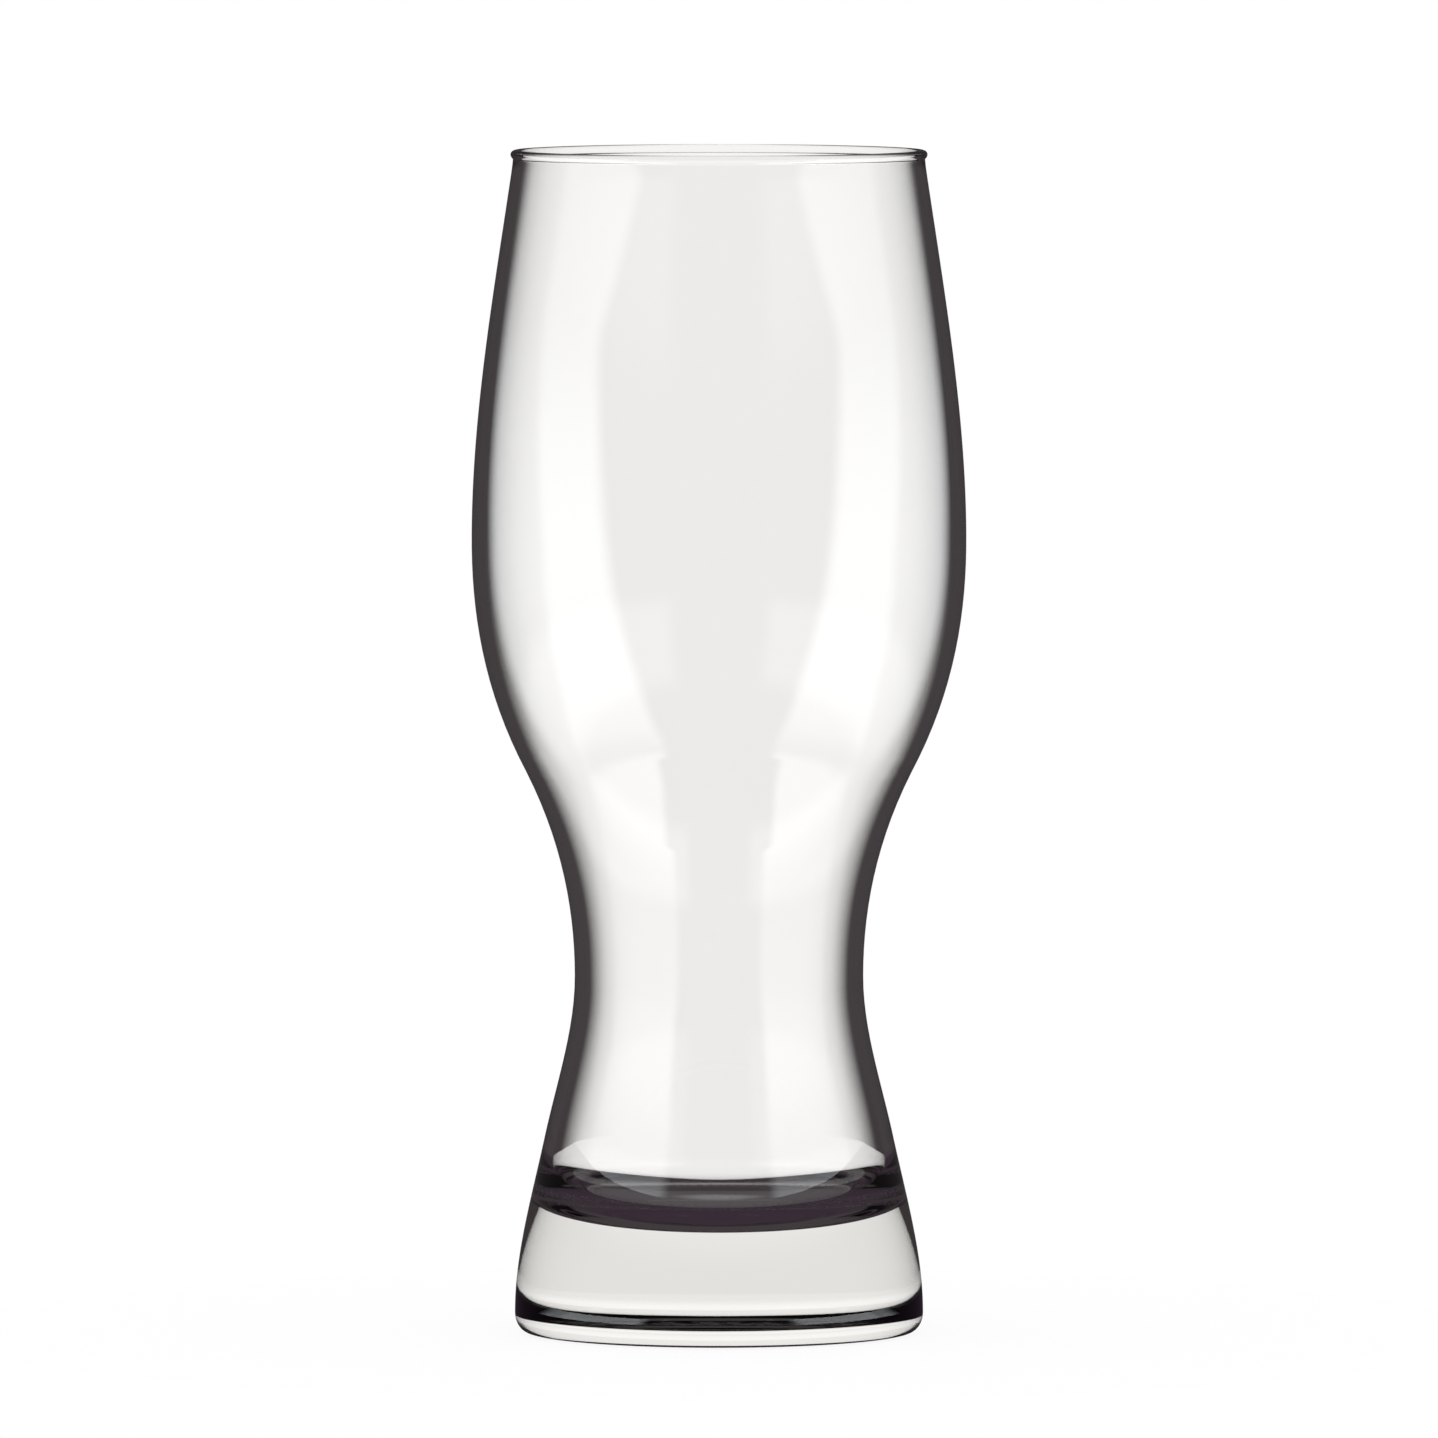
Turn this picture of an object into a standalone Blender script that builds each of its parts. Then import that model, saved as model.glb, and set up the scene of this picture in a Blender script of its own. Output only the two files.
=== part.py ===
"""A clear beer glass with a rolled rim, a bulged bowl, a narrow waist and a heavy flared foot.

The glass is turned about +Z. It stands on z = 0, and its origin is the middle of its underside.
One continuous profile is cut level at three places into the zones that the glass is formed in: the
rim, the bowl, the waist and the foot. All lengths are in metres.
"""

import math

import bmesh
import bpy

# Heights above the table
HEIGHT = 0.2000
BULGE_HEIGHT = 0.1340
SHOULDER_HEIGHT = 0.0956
WAIST_HEIGHT = 0.0602
FLARE_HEIGHT = 0.0330
FLOOR_EDGE_HEIGHT = 0.0315
FLOOR_HEIGHT = 0.0165

# Outside diameters
RIM_DIAMETER = 0.0704
BULGE_DIAMETER = 0.0836
SHOULDER_DIAMETER = 0.0659
WAIST_DIAMETER = 0.0488
FLARE_DIAMETER = 0.0590
FOOT_DIAMETER = 0.0691

# Growth of the outside radius with height, where the outline leans most
LIP_SLOPE = -0.147
SHOULDER_SLOPE = 0.518
FLARE_SLOPE = -0.216

# Thickness of the wall, measured level
LIP_WALL = 0.00135
BULGE_WALL = 0.00175
WAIST_WALL = 0.00165
FLOOR_EDGE_WALL = 0.00205

# The rolled bead at the rim: how tall it is, and how far it stands out from the lip
BEAD_HEIGHT = 0.0015
BEAD_PROUD = 0.0005

# The rounded heel's breadth and height, and the shallow hollow inside the ring that the foot stands on
HEEL_WIDTH = 0.0024
HEEL_HEIGHT = 0.0033
HOLLOW_DIAMETER = 0.0440
HOLLOW_DEPTH = 0.0003

# How full the dished floor is across and down: 2 is an ellipse, and more is squarer
FLOOR_FULLNESS_ACROSS = 3.02
FLOOR_FULLNESS_DOWN = 2.55

# Gap left at each level cut
SEAM = 0.0003

# Fineness of the turned surfaces
SIDES = 64
ROWS_BOWL = 12
ROWS_WAIST = 9
ROWS_FOOT = 8
ROWS_FLOOR = 16
ROWS_HEEL = 6
ROWS_HOLLOW = 4
ROWS_BEAD = 5
MERGE = 1e-6
CREASE = math.radians(30)

# The bead's section is an ellipse as wide as the lip and the part that stands out.
BEAD_WIDTH = LIP_WALL + BEAD_PROUD
BEAD_RADIUS = RIM_DIAMETER / 2 - BEAD_WIDTH / 2
BEAD_MIDDLE = HEIGHT - BEAD_HEIGHT / 2
LIP_RADIUS = RIM_DIAMETER / 2 - BEAD_PROUD
BEAD_MEETS_LIP = math.acos((LIP_RADIUS - BEAD_RADIUS) / (BEAD_WIDTH / 2))
LIP_HEIGHT = BEAD_MIDDLE - BEAD_HEIGHT / 2 * math.sin(BEAD_MEETS_LIP)

# The heel is a quarter of an ellipse, from upright at the side to level on the ring underneath.
HEEL_CENTRE = FOOT_DIAMETER / 2 - HEEL_WIDTH

# Height, outside radius and slope of each station that the outline passes through
OUTLINE = [
    (HEEL_HEIGHT, FOOT_DIAMETER / 2, 0.0),
    (FLARE_HEIGHT, FLARE_DIAMETER / 2, FLARE_SLOPE),
    (WAIST_HEIGHT, WAIST_DIAMETER / 2, 0.0),
    (SHOULDER_HEIGHT, SHOULDER_DIAMETER / 2, SHOULDER_SLOPE),
    (BULGE_HEIGHT, BULGE_DIAMETER / 2, 0.0),
    (LIP_HEIGHT, LIP_RADIUS, LIP_SLOPE),
]

# Height and wall of each station, from the floor's edge up to the lip
WALLS = [
    (FLOOR_EDGE_HEIGHT, FLOOR_EDGE_WALL),
    (WAIST_HEIGHT, WAIST_WALL),
    (BULGE_HEIGHT, BULGE_WALL),
    (LIP_HEIGHT, LIP_WALL),
]


def stretch(height, stations):
    """Return the two stations that a height lies between."""
    pairs = list(zip(stations, stations[1:]))
    for low, high in pairs:
        if height <= high[0]:
            return low, high
    return pairs[-1]


def outside(height):
    """Return the outside radius: a cubic between stations that keeps their radii and slopes."""
    (z0, r0, s0), (z1, r1, s1) = stretch(height, OUTLINE)
    span = z1 - z0
    u = (height - z0) / span
    rise = u * u * (3 - 2 * u)
    leave = u * (1 - u) ** 2 * span * s0
    reach = u * u * (u - 1) * span * s1
    return r0 + (r1 - r0) * rise + leave + reach


def inside(height):
    """Return the inside radius: the outside less the wall.

    The wall changes evenly between stations, and below the floor's edge it stays as it is there.
    """
    (z0, w0), (z1, w1) = stretch(height, WALLS)
    share = max(0.0, (height - z0) / (z1 - z0))
    return outside(height) - w0 - (w1 - w0) * share


def spread(start, end, rows):
    """Return values from start to end, both included, in equal steps."""
    return [start + (end - start) * row / rows for row in range(rows + 1)]


def sleeve(low, high, rows):
    """Return the closed profile of the wall between two levels, down the outside and up the inside."""
    outer = [(outside(height), height) for height in spread(high, low, rows)]
    inner = [(inside(height), height) for height in spread(low, high, rows)]
    return outer + inner


def bead():
    """Return the closed profile of the rolled rim, from its crest round the outside to the inside."""
    across = BEAD_WIDTH / 2
    up = BEAD_HEIGHT / 2
    outer = [
        (BEAD_RADIUS + across * math.cos(turn), BEAD_MIDDLE + up * math.sin(turn))
        for turn in spread(math.pi / 2, -BEAD_MEETS_LIP, 2 * ROWS_BEAD)
    ]
    inner = [
        (BEAD_RADIUS + across * math.cos(turn), BEAD_MIDDLE + up * math.sin(turn))
        for turn in spread(math.pi, math.pi / 2, ROWS_BEAD)
    ]
    return outer + [(LIP_RADIUS - LIP_WALL, LIP_HEIGHT)] + inner[:-1]


def foot():
    """Return the open profile of the foot, from the middle of its floor to the middle underneath.

    The dished floor is a quarter of a full ellipse that leaves the inside of the wall smoothly.
    """
    top = FLOOR_EDGE_HEIGHT
    dish = top - FLOOR_HEIGHT
    across = 2 / FLOOR_FULLNESS_ACROSS
    down = 2 / FLOOR_FULLNESS_DOWN
    floor = []
    for turn in spread(math.pi / 2, 0.0, ROWS_FLOOR)[1:]:
        height = top - dish * math.sin(turn) ** down
        floor.append((inside(height) * math.cos(turn) ** across, height))
    side = [(outside(height), height) for height in spread(top, HEEL_HEIGHT, ROWS_FOOT)]
    heel = [
        (HEEL_CENTRE + HEEL_WIDTH * math.cos(turn), HEEL_HEIGHT + HEEL_HEIGHT * math.sin(turn))
        for turn in spread(0.0, -math.pi / 2, ROWS_HEEL)[1:]
    ]
    ring = HOLLOW_DIAMETER / 2
    hollow = [
        (ring * share, HOLLOW_DEPTH * (1 - share**2))
        for share in spread(1.0, 0.0, ROWS_HOLLOW)
    ]
    return [(0.0, FLOOR_HEIGHT)] + floor + side + heel + hollow


def glass(name, roughness):
    """Return a clear soda-lime glass material."""
    material = bpy.data.materials.new(name)
    material.use_nodes = True
    shader = material.node_tree.nodes["Principled BSDF"]
    shader.inputs["Base Color"].default_value = (0.96, 0.97, 0.97, 1.0)
    shader.inputs["Metallic"].default_value = 0.0
    shader.inputs["Roughness"].default_value = roughness
    shader.inputs["IOR"].default_value = 1.52
    shader.inputs["Transmission Weight"].default_value = 1.0
    return material


def turned(name, seat, profile, is_ring, roughness, parent):
    """Spin a profile of radii and heights about Z into a solid whose origin is at its seat."""
    shape = bmesh.new()
    points = [shape.verts.new((radius, 0.0, height - seat)) for radius, height in profile]
    pairs = list(zip(points, points[1:]))
    if is_ring:
        pairs.append((points[-1], points[0]))
    edges = [shape.edges.new(pair) for pair in pairs]
    bmesh.ops.spin(
        shape,
        geom=points + edges,
        cent=(0.0, 0.0, 0.0),
        axis=(0.0, 0.0, 1.0),
        angle=math.tau,
        steps=SIDES,
        use_merge=True,
    )
    bmesh.ops.remove_doubles(shape, verts=shape.verts, dist=MERGE)
    bmesh.ops.recalc_face_normals(shape, faces=shape.faces)
    mesh = bpy.data.meshes.new(name)
    shape.to_mesh(mesh)
    shape.free()
    mesh.shade_smooth()
    mesh.set_sharp_from_angle(angle=CREASE)
    mesh.materials.append(glass(name + "_glass", roughness))
    piece = bpy.data.objects.new(name, mesh)
    piece.parent = parent
    piece.location = (0.0, 0.0, seat)
    bpy.context.scene.collection.objects.link(piece)
    return piece


for old in list(bpy.data.objects):
    bpy.data.objects.remove(old, do_unlink=True)

whole = bpy.data.objects.new("beer_glass", None)
bpy.context.scene.collection.objects.link(whole)

# The foot is the solid base under the drink, with the dished floor in its top.
turned("foot", 0.0, foot(), False, 0.03, whole)

# The waist carries the wall from the floor's edge through the narrow grip to the shoulder.
waist_seat = FLOOR_EDGE_HEIGHT + SEAM
turned("waist", waist_seat, sleeve(waist_seat, SHOULDER_HEIGHT, ROWS_WAIST), True, 0.02, whole)

# The bowl is the bulged wall from the shoulder to the lip.
bowl_seat = SHOULDER_HEIGHT + SEAM
turned("bowl", bowl_seat, sleeve(bowl_seat, LIP_HEIGHT - SEAM, ROWS_BOWL), True, 0.02, whole)

# The rim is the fire-polished bead rolled outward over the lip.
turned("rim", LIP_HEIGHT, bead(), True, 0.01, whole)
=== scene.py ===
"""The look of a clear beer glass that stands on a white table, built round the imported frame.

The glass is one turned surface, and its foot, waist, bowl and rim each give a stretch of the profile.
Lengths are in metres and angles in degrees. +Z is up, and the camera looks along +Y.
"""

import math

import bpy
import numpy as np
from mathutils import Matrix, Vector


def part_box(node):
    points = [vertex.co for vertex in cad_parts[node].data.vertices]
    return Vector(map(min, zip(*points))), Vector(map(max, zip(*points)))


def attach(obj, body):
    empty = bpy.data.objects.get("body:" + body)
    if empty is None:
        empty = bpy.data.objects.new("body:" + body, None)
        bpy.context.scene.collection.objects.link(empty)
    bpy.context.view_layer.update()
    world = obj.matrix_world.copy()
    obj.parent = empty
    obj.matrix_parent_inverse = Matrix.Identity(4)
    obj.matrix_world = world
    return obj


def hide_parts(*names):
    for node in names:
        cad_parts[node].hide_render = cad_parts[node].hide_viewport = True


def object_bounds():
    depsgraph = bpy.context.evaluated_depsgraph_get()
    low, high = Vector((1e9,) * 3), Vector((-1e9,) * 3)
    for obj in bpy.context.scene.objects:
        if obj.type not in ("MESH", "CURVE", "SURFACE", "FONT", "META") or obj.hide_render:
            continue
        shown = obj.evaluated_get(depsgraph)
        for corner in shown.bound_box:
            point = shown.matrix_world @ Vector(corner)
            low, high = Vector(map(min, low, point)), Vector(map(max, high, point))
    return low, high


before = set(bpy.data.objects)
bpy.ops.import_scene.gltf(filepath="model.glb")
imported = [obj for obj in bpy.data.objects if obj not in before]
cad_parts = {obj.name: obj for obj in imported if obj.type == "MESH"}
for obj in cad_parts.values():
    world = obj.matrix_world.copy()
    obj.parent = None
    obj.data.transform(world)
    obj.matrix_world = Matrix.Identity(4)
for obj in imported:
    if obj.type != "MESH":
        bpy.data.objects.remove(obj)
cad_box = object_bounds()

# The outline
# The wall is blown into a turned mould, which gives the outside its long double curve.
# The blow leaves the inside smooth, and the wall thinner at the lip than above the foot.
HEIGHT = cad_box[1][2]
HEEL_WIDTH = 0.0024
HEEL_HEIGHT = 0.0033
WAIST_HEIGHT = 0.0602
BULGE_HEIGHT = 0.1340
BEAD_HEIGHT = 0.0015
BEAD_PROUD = 0.0005
LIP_WALL = 0.00135

foot_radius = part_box("foot")[1][0]
floor_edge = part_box("foot")[1][2]
rim_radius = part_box("rim")[1][0]
bead_width = LIP_WALL + BEAD_PROUD
bead_middle = HEIGHT - BEAD_HEIGHT / 2
lip_radius = rim_radius - BEAD_PROUD
bead_meets_lip = math.acos((lip_radius - rim_radius + bead_width / 2) / (bead_width / 2))
lip_height = bead_middle - BEAD_HEIGHT / 2 * math.sin(bead_meets_lip)

# Height, outside radius and lean of each place that the outline passes through
OUTLINE = np.array([
    (HEEL_HEIGHT, foot_radius, 0.0),
    (0.0330, 0.0295, -0.216),
    (WAIST_HEIGHT, 0.0244, 0.0),
    (0.0956, 0.03295, 0.518),
    (BULGE_HEIGHT, 0.0418, 0.0),
    (lip_height, lip_radius, -0.147),
])

# Height and thickness of the wall, from the edge of the floor up to the lip
WALL = np.array([
    (floor_edge, 0.00205),
    (WAIST_HEIGHT, 0.00165),
    (BULGE_HEIGHT, 0.00175),
    (lip_height, LIP_WALL),
])


def outside(height):
    """Return the outside radius: between two places, the cubic that keeps their radii and leans."""
    low = np.clip(np.searchsorted(OUTLINE[:, 0], height) - 1, 0, len(OUTLINE) - 2)
    z0, r0, s0 = OUTLINE[low].T
    z1, r1, s1 = OUTLINE[low + 1].T
    span = z1 - z0
    u = (height - z0) / span
    rise = u * u * (3 - 2 * u)
    return r0 + (r1 - r0) * rise + span * (s0 * u * (1 - u) ** 2 + s1 * u * u * (u - 1))


def inside(height):
    """Return the inside radius: the outside less a wall that changes evenly between its places."""
    return outside(height) - np.interp(height, *WALL.T)


def arc(middle, radii, start, end, count):
    """Return points on an ellipse: the middle plus the radii times cosine and sine, in even turns."""
    turn = np.linspace(start, end, count)
    return np.column_stack([middle[0] + radii[0] * np.cos(turn), middle[1] + radii[1] * np.sin(turn)])


# The foot
# The foot is a thick solid lump of glass, pressed and fire-polished, with a dished floor on top.
# It stands on a flat ring round a shallow hollow, and its heel is rounded.
RING_RADIUS = 0.0220
HOLLOW_DEPTH = 0.0003
FLOOR_HEIGHT = 0.0165
FULLNESS_ACROSS = 3.02
FULLNESS_DOWN = 2.55
HOLLOW_ROWS = 10
RING_ROWS = 6
HEEL_ROWS = 32
FLOOR_ROWS = 62

share = np.linspace(0, 1, HOLLOW_ROWS, endpoint=False)
hollow = np.column_stack([RING_RADIUS * share, HOLLOW_DEPTH * (1 - share**2)])
heel_middle = foot_radius - HEEL_WIDTH
ring = np.linspace([RING_RADIUS, 0], [heel_middle, 0], RING_ROWS, endpoint=False)
heel = arc((heel_middle, HEEL_HEIGHT), (HEEL_WIDTH, HEEL_HEIGHT), -math.pi / 2, 0, HEEL_ROWS)

# The dish is a quarter of a full ellipse, with the wall's inside as its breadth at each height.
turn = np.linspace(0, math.pi / 2, FLOOR_ROWS)[1:]
dish_height = floor_edge - (floor_edge - FLOOR_HEIGHT) * np.sin(turn) ** (2 / FULLNESS_DOWN)
dish_radius = inside(dish_height) * np.abs(np.cos(turn)) ** (2 / FULLNESS_ACROSS)
dish = np.column_stack([dish_radius, dish_height])
dish[-1, 0] = 0

# The waist and the bowl
# One blown wall runs from the floor's edge through the narrow grip and the bulge to the lip.
# It has no joint anywhere, so its two sides are carried on from the foot without a break.
WALL_ROWS = 150
CROWDING = 0.96
BEAD_EASE = 0.00042
EASE_REACH = 0.0028


def crowded(start, end, count):
    """Return heights from start to end that crowd towards both: even steps less a share of one sine."""
    share = np.linspace(0, 1, count)
    share = share - CROWDING * np.sin(math.tau * share) / math.tau
    return start + (end - start) * share


def eased(wall, bead, height):
    """Return the wall's radius, and near the lip the larger of the wall's and the bead's, eased together.

    The larger is half the sum plus half the gap. The gap is rounded, which dies out at the bead's middle
    and at the end of the easing's reach below the lip.
    """
    start = lip_height - EASE_REACH
    upper = np.clip((bead_middle - height) / (bead_middle - lip_height), 0, 1)
    lower = np.clip((height - start) / EASE_REACH, 0, 1)
    gap = np.hypot(wall - bead, BEAD_EASE * upper * lower)
    return np.where(height > start, (wall + bead + gap) / 2, wall)


bead_radius = rim_radius - bead_width / 2
side_height = crowded(HEEL_HEIGHT, bead_middle, WALL_ROWS)[1:-1]
swell = np.sqrt(np.clip(1 - ((side_height - bead_middle) / (BEAD_HEIGHT / 2)) ** 2, 0, 1))
side_radius = eased(outside(side_height), bead_radius + bead_width / 2 * swell, side_height)
side = np.column_stack([side_radius, side_height])
lining_height = crowded(bead_middle, floor_edge, WALL_ROWS)[1:]
lining_radius = eased(inside(lining_height), bead_radius - bead_width / 2, lining_height)
lining = np.column_stack([lining_radius, lining_height])

# The rim
# The rim is cut, then melted back in a flame, and its edge rolls outward into a small round bead.
# The bead is the same glass as the wall and runs into it without a seam.
BEAD_ROWS = 28

bead = arc((bead_radius, bead_middle), (bead_width / 2, BEAD_HEIGHT / 2), 0, math.pi, BEAD_ROWS)

# The glass
# All the stretches are one piece of soda-lime glass, clear and polished all over.
# Only the outer part of the ring that it stands on is dulled, by sliding on tables.
SIDES = 216
IOR = 1.52
ABSORBED = (0.955, 0.954, 0.946, 1)
ABSORPTION = 30
SCUFF_HEIGHT = (0.0003, 0.0)
SCUFF_RADIUS = (0.0285, 0.0300)
SCUFF_GRAIN = (0.2, 0.6)
SCUFF_SCALE = 900
SCUFF_ROUGHNESS = 0.35


def placed(name, points, faces):
    """Return a mesh object of the points and faces, in the scene and at the origin."""
    mesh = bpy.data.meshes.new(name)
    mesh.from_pydata(points.tolist(), [], faces)
    piece = bpy.data.objects.new(name, mesh)
    bpy.context.scene.collection.objects.link(piece)
    return piece


def turned(name, profile):
    """Return a closed mesh object: every point of the profile turned about Z in equal steps.

    The profile starts and ends on the axis, where its first and last points close the surface as fans.
    """
    turn = np.arange(SIDES) * math.tau / SIDES
    rows = profile[1:-1]
    x = rows[:, :1] * np.cos(turn)
    y = rows[:, :1] * np.sin(turn)
    z = np.repeat(rows[:, 1:], SIDES, axis=1)
    grid = np.stack([x, y, z], axis=-1).reshape(-1, 3)
    ends = np.array([(0, 0, profile[0, 1]), (0, 0, profile[-1, 1])])
    index = np.arange(len(grid)).reshape(len(rows), SIDES)
    beside = np.roll(index, -1, axis=1)
    quads = np.stack([index[:-1], beside[:-1], beside[1:], index[1:]], axis=-1).reshape(-1, 4)
    first = np.full(SIDES, len(grid))
    low = np.stack([beside[0], index[0], first], axis=-1)
    high = np.stack([index[-1], beside[-1], first + 1], axis=-1)
    piece = placed(name, np.vstack([grid, ends]), quads.tolist() + low.tolist() + high.tolist())
    piece.data.shade_smooth()
    return piece


def feed(tree, socket, value):
    """Link an input to a socket, or set it to a number or a colour."""
    if isinstance(value, bpy.types.NodeSocket):
        tree.links.new(value, socket)
    else:
        socket.default_value = value


def formula(tree, operation, *values):
    """Return the output of a Math node, each of whose inputs is a number or a socket."""
    node = tree.nodes.new("ShaderNodeMath")
    node.operation = operation
    for socket, value in zip(node.inputs, values):
        feed(tree, socket, value)
    return node.outputs[0]


def product(tree, first, *others):
    """Return the product of sockets and numbers."""
    for other in others:
        first = formula(tree, "MULTIPLY", first, other)
    return first


def fade(tree, value, limits):
    """Return 0 where the value is at the first limit and 1 where it is at the second, eased in between."""
    node = tree.nodes.new("ShaderNodeMapRange")
    node.interpolation_type = "SMOOTHSTEP"
    tree.links.new(value, node.inputs["Value"])
    node.inputs["From Min"].default_value = limits[0]
    node.inputs["From Max"].default_value = limits[1]
    return node.outputs["Result"]


def parts(tree, vector):
    """Return the X, Y and Z of a vector socket."""
    node = tree.nodes.new("ShaderNodeSeparateXYZ")
    tree.links.new(vector, node.inputs[0])
    return node.outputs


def from_axis(tree, spot):
    """Return the distance from the Z axis: the root of X squared plus Y squared."""
    x_squared = product(tree, spot["X"], spot["X"])
    y_squared = product(tree, spot["Y"], spot["Y"])
    return formula(tree, "SQRT", formula(tree, "ADD", x_squared, y_squared))


glass = turned("glass", np.vstack([hollow, ring, heel, side, bead, lining, dish]))

clear = bpy.data.materials.new("clear_glass")
clear.use_nodes = True
tree = clear.node_tree
place = tree.nodes.new("ShaderNodeTexCoord")
spot = parts(tree, place.outputs["Object"])
grain = tree.nodes.new("ShaderNodeTexNoise")
grain.inputs["Scale"].default_value = SCUFF_SCALE
tree.links.new(place.outputs["Object"], grain.inputs["Vector"])
scuffed = product(
    tree,
    fade(tree, spot["Z"], SCUFF_HEIGHT),
    fade(tree, from_axis(tree, spot), SCUFF_RADIUS),
    fade(tree, grain.outputs["Fac"], SCUFF_GRAIN),
)
shader = tree.nodes["Principled BSDF"]
shader.inputs["Base Color"].default_value = (1, 1, 1, 1)
shader.inputs["Metallic"].default_value = 0
tree.links.new(product(tree, scuffed, SCUFF_ROUGHNESS), shader.inputs["Roughness"])
shader.inputs["IOR"].default_value = IOR
shader.inputs["Transmission Weight"].default_value = 1
depth = tree.nodes.new("ShaderNodeVolumeAbsorption")
depth.inputs["Color"].default_value = ABSORBED
depth.inputs["Density"].default_value = ABSORPTION
tree.links.new(depth.outputs[0], tree.nodes["Material Output"].inputs["Volume"])
glass.data.materials.append(clear)

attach(glass, "root")
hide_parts("rim", "bowl", "waist", "foot")

# The table
# The table is a round white board, which takes a faint shade from the glass that stands on it.
# Through the glass it shows a painted shadow right under the foot, dark to light that came through the
# hollow and paler to light that came through the solid foot, which also sees a painted grey shade close to
# the foot that fades to pale further out. Light that was reflected on its way shows the whole board in
# dark painted shade.
TABLE_GAP = 0.0002
TABLE_RADIUS = 0.13
TABLE_ROWS = 40
TABLE_SIDES = 128
SHADOW = 0.10
FOOT_SHADE_END = (0.0355, 0.0370)
GREY_END = (0.062, 0.078)
# Painted dark shade, then the painted shadow under the foot, dark and paler
PAINTED_DARK_SHADE = (0.040, 0.026, 0.038, 1)
PAINTED_SHADOW_UNDER_FOOT = (0.110, 0.103, 0.107, 1)
PAINTED_PALE_SHADOW_UNDER_FOOT = (0.66, 0.65, 0.64, 1)
WHITE_TABLE = (1.02, 1.005, 0.984, 1)
# Painted grey shade close to the foot
PAINTED_SHADE_NEAR_FOOT = (0.912, 0.898, 0.876, 1)
PALE_TABLE = (0.965, 0.955, 0.938, 1)

# Light that enters or leaves glass this many times has come through the wall and the hollow.
HOLLOW_CROSSINGS = 3

reach = np.linspace(0, TABLE_RADIUS, TABLE_ROWS)[1:]
turn = np.arange(TABLE_SIDES) * math.tau / TABLE_SIDES
x = reach[:, None] * np.cos(turn)
y = reach[:, None] * np.sin(turn)
z = np.full_like(x, -TABLE_GAP)
grid = np.stack([x, y, z], axis=-1).reshape(-1, 3)
index = np.arange(len(grid)).reshape(len(reach), TABLE_SIDES)
beside = np.roll(index, -1, axis=1)
quads = np.stack([index[:-1], index[1:], beside[1:], beside[:-1]], axis=-1).reshape(-1, 4)
fan = np.stack([index[0], beside[0], np.full(TABLE_SIDES, len(grid))], axis=-1)
table = placed("table", np.vstack([grid, (0, 0, -TABLE_GAP)]), quads.tolist() + fan.tolist())


def bare(name):
    """Return a new material that has only an output, and that output."""
    material = bpy.data.materials.new(name)
    material.use_nodes = True
    material.node_tree.nodes.clear()
    return material, material.node_tree.nodes.new("ShaderNodeOutputMaterial")


def blended(tree, share, low, high):
    """Return the low colour where the share is 0 and the high one where it is 1; each may be a socket."""
    node = tree.nodes.new("ShaderNodeMix")
    node.data_type = "RGBA"
    tree.links.new(share, node.inputs["Factor"])
    feed(tree, node.inputs[6], low)
    feed(tree, node.inputs[7], high)
    return node.outputs[2]


def unreflected(tree, path):
    """Return 1 for light that nothing has reflected on its way, and 0 for the rest."""
    return formula(tree, "SUBTRACT", 1.0, formula(tree, "MINIMUM", path.outputs["Glossy Depth"], 1.0))


def by_glass(tree, path):
    """Return 1 for light that the glass has just let through or reflected, and 0 for the rest."""
    return formula(tree, "MAXIMUM", path.outputs["Is Transmission Ray"], path.outputs["Is Glossy Ray"])


white, output = bare("white_table")
tree = white.node_tree
place = tree.nodes.new("ShaderNodeTexCoord")
away = from_axis(tree, parts(tree, place.outputs["Object"]))
path = tree.nodes.new("ShaderNodeLightPath")
straight = unreflected(tree, path)
solid = formula(tree, "LESS_THAN", path.outputs["Transmission Depth"], HOLLOW_CROSSINGS)
# Painted grey shade close to the foot, fading to pale further out, for light through the solid foot
near = blended(tree, fade(tree, away, GREY_END), PAINTED_SHADE_NEAR_FOOT, PALE_TABLE)
board = blended(tree, solid, WHITE_TABLE, near)
# Painted shadow under the foot, and dark painted shade for light that was reflected
under = blended(tree, straight, PAINTED_DARK_SHADE, blended(tree, solid, PAINTED_SHADOW_UNDER_FOOT, PAINTED_PALE_SHADOW_UNDER_FOOT))
through = tree.nodes.new("ShaderNodeEmission")
tree.links.new(
    blended(tree, product(tree, fade(tree, away, FOOT_SHADE_END), straight), under, board),
    through.inputs["Color"],
)
direct = tree.nodes.new("ShaderNodeEmission")
direct.inputs["Strength"].default_value = 1 - SHADOW
shaded = tree.nodes.new("ShaderNodeBsdfDiffuse")
shaded.inputs["Color"].default_value = (SHADOW, SHADOW, SHADOW, 1)
both = tree.nodes.new("ShaderNodeAddShader")
tree.links.new(direct.outputs[0], both.inputs[0])
tree.links.new(shaded.outputs[0], both.inputs[1])
choose = tree.nodes.new("ShaderNodeMixShader")
tree.links.new(by_glass(tree, path), choose.inputs[0])
tree.links.new(both.outputs[0], choose.inputs[1])
tree.links.new(through.outputs[0], choose.inputs[2])
tree.links.new(choose.outputs[0], output.inputs["Surface"])
table.data.materials.append(white)

# The card
# A low strip of white card stands round the edge of the table, and only clear glass shows it.
# It lights the heel, whose rays leave the foot level and close to the table.
# Light that was reflected on its way shows it in dark painted shade.
CARD_HEIGHT = 0.022
CARD_PALE_END = (0.0, 0.014)
WHITE_CARD = (1.12, 1.11, 1.10, 1)
DIM_CARD = (1.0, 0.985, 0.965, 1)

x = np.tile(TABLE_RADIUS * np.cos(turn), 2)
y = np.tile(TABLE_RADIUS * np.sin(turn), 2)
z = np.repeat([-TABLE_GAP, CARD_HEIGHT], TABLE_SIDES)
index = np.arange(len(z)).reshape(2, TABLE_SIDES)
beside = np.roll(index, -1, axis=1)
quads = np.stack([index[0], index[1], beside[1], beside[0]], axis=-1)
card = placed("card", np.stack([x, y, z], axis=-1), quads.tolist())
card.visible_camera = False
card.visible_diffuse = False
card.visible_glossy = False
card.visible_shadow = False

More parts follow.
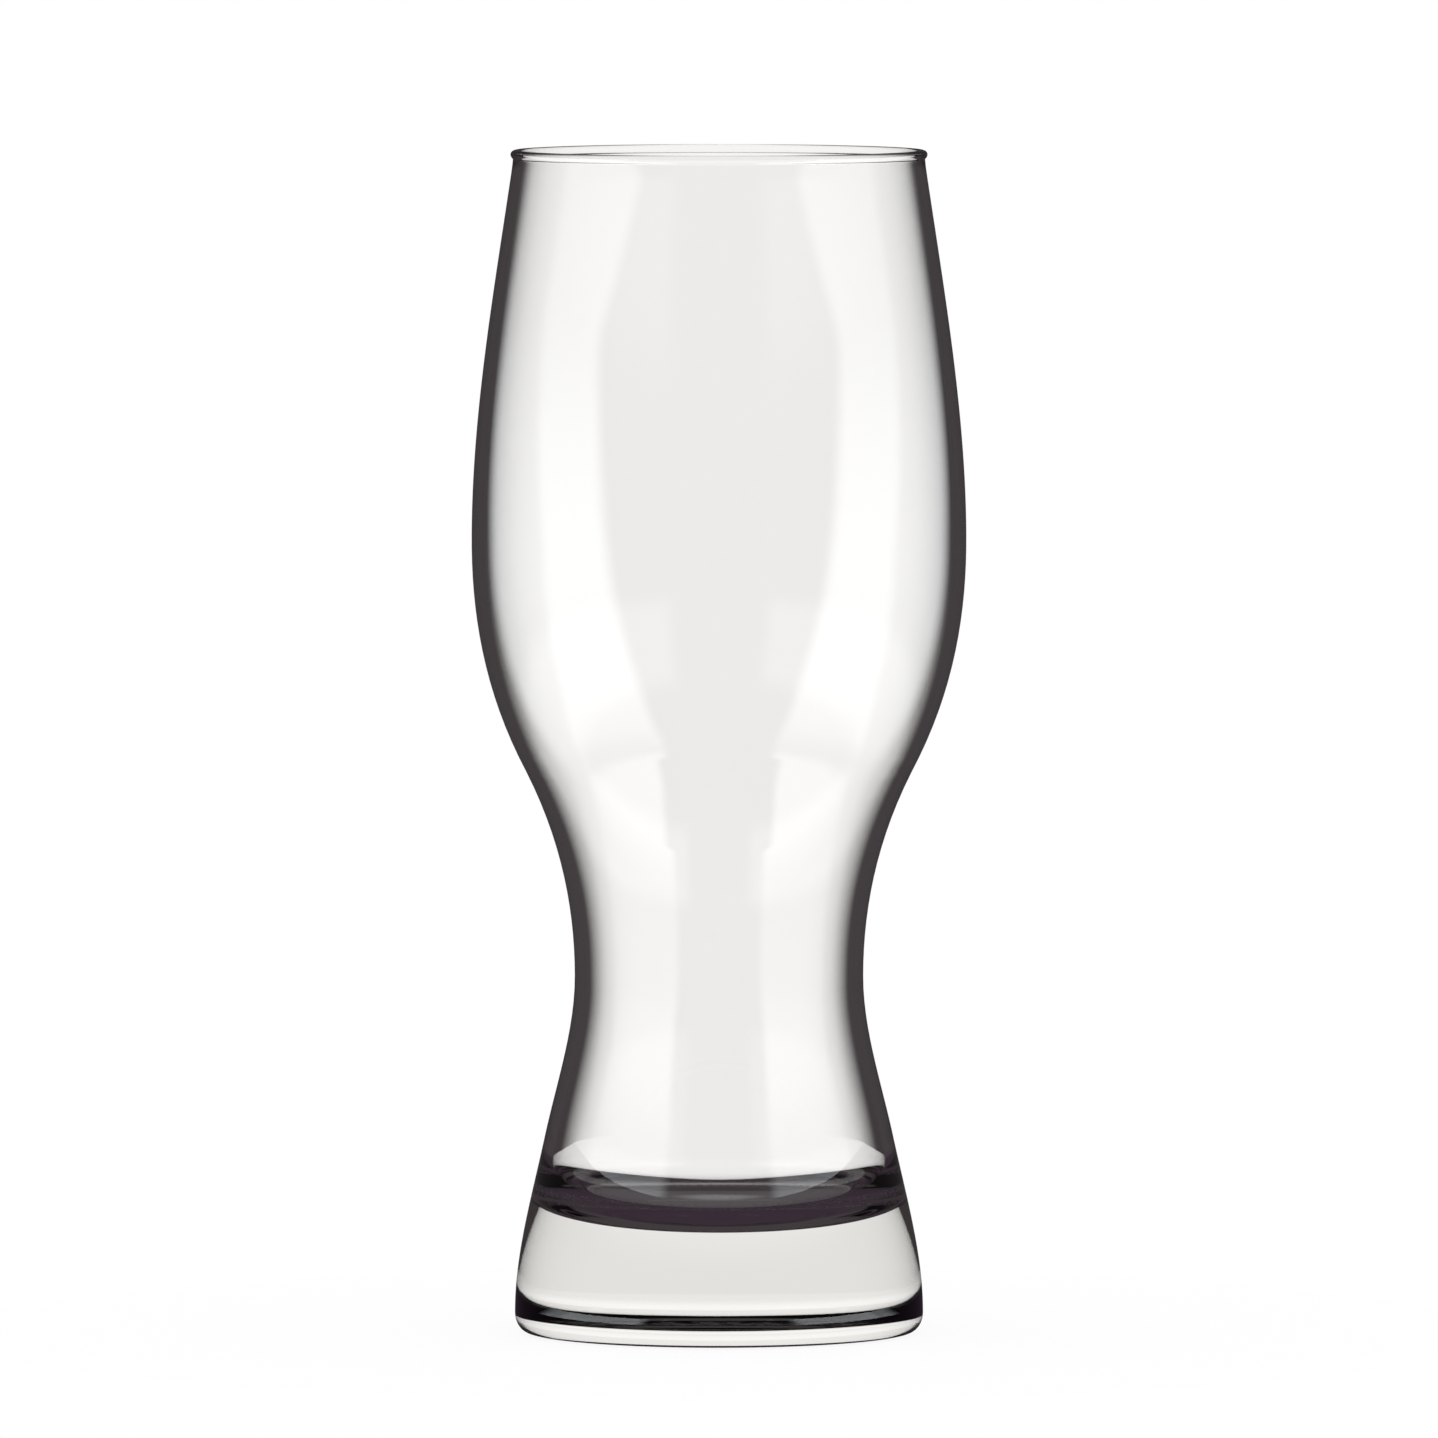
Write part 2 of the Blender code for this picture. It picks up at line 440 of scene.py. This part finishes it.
paper, output = bare("white_card")
tree = paper.node_tree
place = tree.nodes.new("ShaderNodeTexCoord")
level = parts(tree, place.outputs["Object"])["Z"]
path = tree.nodes.new("ShaderNodeLightPath")
solid = formula(tree, "LESS_THAN", path.outputs["Transmission Depth"], HOLLOW_CROSSINGS)
upright = blended(tree, fade(tree, level, CARD_PALE_END), PALE_TABLE, WHITE_CARD)
face = blended(tree, solid, DIM_CARD, upright)
through = tree.nodes.new("ShaderNodeEmission")
# Dark painted shade for light that was reflected on its way
tree.links.new(blended(tree, unreflected(tree, path), PAINTED_DARK_SHADE, face), through.inputs["Color"])
tree.links.new(through.outputs[0], output.inputs["Surface"])
card.data.materials.append(paper)

# The studio
# White panels stand round the glass with dark gaps between them, so that clear glass shows its edges.
# Light that the glass has reflected meets a dark room, apart from one pale band above the table's edge.
# The camera sees a white backdrop behind it all.
PANEL_STEP = 45
LOW_PANEL_STEP = 22.5
PANEL_EDGE = (15.5, 2.5)
PANELS_END = (150, 130)
LOW_TOP = (-8, -13)
BACK_SIDES = (80, 65)
BACK_FOOT = (1, 4)
BACK_TOP = (45, 30)
BAND = 0.7
BAND_SIDES = (160, 150)
BAND_FOOT = (8, 14)
BAND_TOP = (34, 27)
DARK = (0.058, 0.050, 0.052, 1)
WHITE_PANEL = (1.0, 0.985, 0.965, 1)

world = bpy.data.worlds.new("studio")
bpy.context.scene.world = world
world.use_nodes = True
tree = world.node_tree
tree.nodes.clear()
output = tree.nodes.new("ShaderNodeOutputWorld")
place = tree.nodes.new("ShaderNodeTexCoord")
toward = parts(tree, place.outputs["Generated"])
bearing = formula(tree, "ARCTAN2", toward["X"], toward["Y"])
azimuth = formula(tree, "DEGREES", formula(tree, "ABSOLUTE", bearing))
elevation = formula(tree, "DEGREES", formula(tree, "ARCSINE", toward["Z"]))
tall_panels = product(
    tree,
    fade(tree, formula(tree, "PINGPONG", azimuth, PANEL_STEP), PANEL_EDGE),
    fade(tree, azimuth, PANELS_END),
)
low_panels = product(
    tree,
    fade(tree, formula(tree, "PINGPONG", azimuth, LOW_PANEL_STEP), PANEL_EDGE),
    fade(tree, elevation, LOW_TOP),
)
back_panel = product(
    tree,
    fade(tree, azimuth, BACK_SIDES),
    fade(tree, elevation, BACK_FOOT),
    fade(tree, elevation, BACK_TOP),
)
panels = formula(tree, "MAXIMUM", formula(tree, "MAXIMUM", tall_panels, low_panels), back_panel)
path = tree.nodes.new("ShaderNodeLightPath")
reflected_once = formula(tree, "COMPARE", path.outputs["Glossy Depth"], 1.0, 0.5)
band = product(
    tree,
    fade(tree, azimuth, BAND_SIDES),
    fade(tree, elevation, BAND_FOOT),
    fade(tree, elevation, BAND_TOP),
    reflected_once,
    path.outputs["Is Transmission Ray"],
    BAND,
)
lit_share = formula(tree, "ADD", product(tree, panels, unreflected(tree, path)), band)
room = blended(tree, lit_share, DARK, WHITE_PANEL)
sky = tree.nodes.new("ShaderNodeBackground")
tree.links.new(blended(tree, by_glass(tree, path), (1, 1, 1, 1), room), sky.inputs["Color"])
tree.links.new(sky.outputs[0], output.inputs["Surface"])

# The side lights
# A curved white diffuser stands on each side, close to the glass, and lights only its polished outside.
# A white apron reaches outward from under each one, level with the table, and lights the shoulder.
SHEET_ROWS = 60
SHEET_COLUMNS = 90
SIDE_LIGHT = (0.94, 1.0, 1.02, 1)
TAIL_SHARE = 0.55
FRONT_SOFT = 8
BACK_SOFT = 8
TAIL_SOFT = 14

# Reach from the axis, height, angles of the front edge, back edge and tail, and brightness
DIFFUSER = np.array([
    (0.080, 0.0432, 25, 84, 99, 2.8),
    (0.080, 0.0500, 24, 84, 99, 1.4),
    (0.080, 0.0570, 24, 83, 100, 1.7),
    (0.080, 0.0650, 26, 81, 103, 2.5),
    (0.080, 0.0900, 29, 73, 108, 3.5),
    (0.080, 0.1320, 36, 72, 110, 4.1),
    (0.080, 0.1550, 40, 77, 113, 3.5),
    (0.080, 0.1780, 44, 82, 115, 2.4),
    (0.080, 0.2100, 30, 80, 116, 1.8),
])
APRON = np.array([
    (0.080, 0.0005, 33, 88, 104, 2.8),
    (0.160, 0.0005, 33, 88, 104, 2.8),
])


def sheet(name, stations, hand):
    """Return a sheet round the glass: its rows pass evenly through the stations, front edge to tail.

    The light rises at the front edge, and falls at the back edge to a tail that fades away.
    The hand is 1 on the right of the glass and -1 on the left.
    """
    along = np.linspace(0, len(stations) - 1, SHEET_ROWS)
    reach, height, front, back, end, glow = (
        np.interp(along, np.arange(len(stations)), column)[:, None] for column in stations.T
    )
    angle = front + (end - front) * np.linspace(0, 1, SHEET_COLUMNS)
    x = hand * reach * np.sin(np.radians(angle))
    y = -reach * np.cos(np.radians(angle))
    z = np.repeat(height, SHEET_COLUMNS, axis=1)
    rise = np.clip((angle - front) / FRONT_SOFT, 0, 1)
    fall = np.clip((back - angle) / BACK_SOFT, 0, 1)
    tail = np.clip((end - angle) / TAIL_SOFT, 0, 1)
    rise, fall, tail = (share**2 * (3 - 2 * share) for share in (rise, fall, tail))
    light = glow * rise * (fall + TAIL_SHARE * tail * (1 - fall))
    index = np.arange(z.size).reshape(z.shape)
    corners = [index[:-1, :-1], index[:-1, 1:], index[1:, 1:], index[1:, :-1]]
    quads = np.stack(corners, axis=-1).reshape(-1, 4)
    piece = placed(name, np.stack([x, y, z], axis=-1).reshape(-1, 3), quads.tolist())
    strength = piece.data.attributes.new("light", "FLOAT", "POINT")
    strength.data.foreach_set("value", light.ravel().astype(np.float32))
    piece.visible_camera = False
    piece.visible_diffuse = False
    piece.visible_transmission = False
    piece.visible_shadow = False
    return piece


lit, output = bare("lit_diffuser")
tree = lit.node_tree
strength = tree.nodes.new("ShaderNodeAttribute")
strength.attribute_name = "light"
lamp = tree.nodes.new("ShaderNodeEmission")
lamp.inputs["Color"].default_value = SIDE_LIGHT
tree.links.new(strength.outputs["Fac"], lamp.inputs["Strength"])
tree.links.new(lamp.outputs[0], output.inputs["Surface"])
for side_name, hand in (("left", -1), ("right", 1)):
    sheet("diffuser_" + side_name, DIFFUSER, hand).data.materials.append(lit)
    sheet("apron_" + side_name, APRON, hand).data.materials.append(lit)

# The camera
# It stands a little above the rim and looks slightly down, at the photograph's angle.
# It is far away and has a long lens, so that the glass keeps its proportions.
CAMERA_AWAY = 3.35
CAMERA_HEIGHT = 0.2965
CAMERA_AIM = 0.103795
LENS_MM = 496.93
SENSOR_MM = 36

view = bpy.data.cameras.new("camera")
view.sensor_width = SENSOR_MM
view.lens = LENS_MM
camera = bpy.data.objects.new("camera", view)
camera.location = (0, -CAMERA_AWAY, CAMERA_HEIGHT)
camera.rotation_euler = (math.pi / 2 - math.atan2(CAMERA_HEIGHT - CAMERA_AIM, CAMERA_AWAY), 0, 0)
bpy.context.scene.collection.objects.link(camera)
bpy.context.scene.camera = camera
bpy.context.scene.view_settings.view_transform = "Standard"
